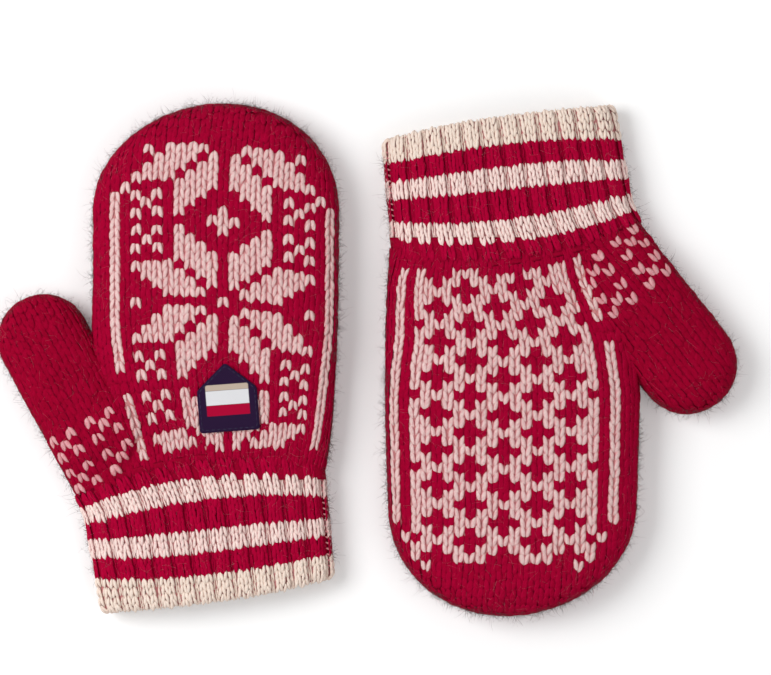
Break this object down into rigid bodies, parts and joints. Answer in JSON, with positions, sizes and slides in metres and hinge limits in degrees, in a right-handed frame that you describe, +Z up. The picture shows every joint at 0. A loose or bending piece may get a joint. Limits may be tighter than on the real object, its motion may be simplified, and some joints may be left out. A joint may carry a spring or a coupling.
{
  "type": "knitted mittens",
  "caption": "Pair of lined knitted wool mittens with a star-patterned back, lattice palm, ribbed striped cuffs and thumbs that swing, laid flat side by side.",
  "frame": {"origin": "middle of the underside of the pair's box, on the surface that the mittens lie on", "axes": "+Z up, +Y from the right mitten's cuff to its fingertips, +X from the right-hand mitten to the left-hand one"},
  "size_m": [0.2932, 0.205, 0.0255],
  "materials": {
    "red_wool": "brushed red wool knit with a cream pattern knitted in",
    "cuff_wool": "red and cream wool in a soft rib",
    "lining_fleece": "short grey pile, assumed",
    "label_twill": "navy woven twill, left bare",
    "label_thread": "navy sewing thread",
    "seam_wool": "red and cream yarn ends drawn into one seam",
    "tag_satin": "white satin ribbon, left bare"
  },
  "bodies": {
    "right_mitten_body": {"right_hand": "red_wool", "right_cuff": "cuff_wool", "right_hand_lining": "lining_fleece", "right_label": "label_twill", "right_label_stitching": "label_thread", "right_cuff_seam": "seam_wool", "right_care_tag": "tag_satin"},
    "right_thumb_body": {"right_thumb": "red_wool", "right_thumb_lining": "lining_fleece"},
    "left_mitten_body": {"left_hand": "red_wool", "left_cuff": "cuff_wool", "left_hand_lining": "lining_fleece", "left_label": "label_twill", "left_label_stitching": "label_thread", "left_cuff_seam": "seam_wool", "left_care_tag": "tag_satin"},
    "left_thumb_body": {"left_thumb": "red_wool", "left_thumb_lining": "lining_fleece"}
  },
  "joints": [
    {"name": "right_thumb_swing", "type": "hinge", "parent": "right_mitten_body", "child": "right_thumb_body", "pos_m": [-0.11787, -0.0127, 0], "axis": [0, 0, 1], "range_deg": [-5, 30]},
    {"name": "left_mitten_lift", "type": "slide", "parent": "right_mitten_body", "child": "left_mitten_body", "axis": [0, 0, 1], "range_m": [0, 0.08]},
    {"name": "left_thumb_swing", "type": "hinge", "parent": "left_mitten_body", "child": "left_thumb_body", "pos_m": [0.11453, 0.0127, 0], "axis": [0, 0, 1], "range_deg": [-5, 30]}
  ]
}
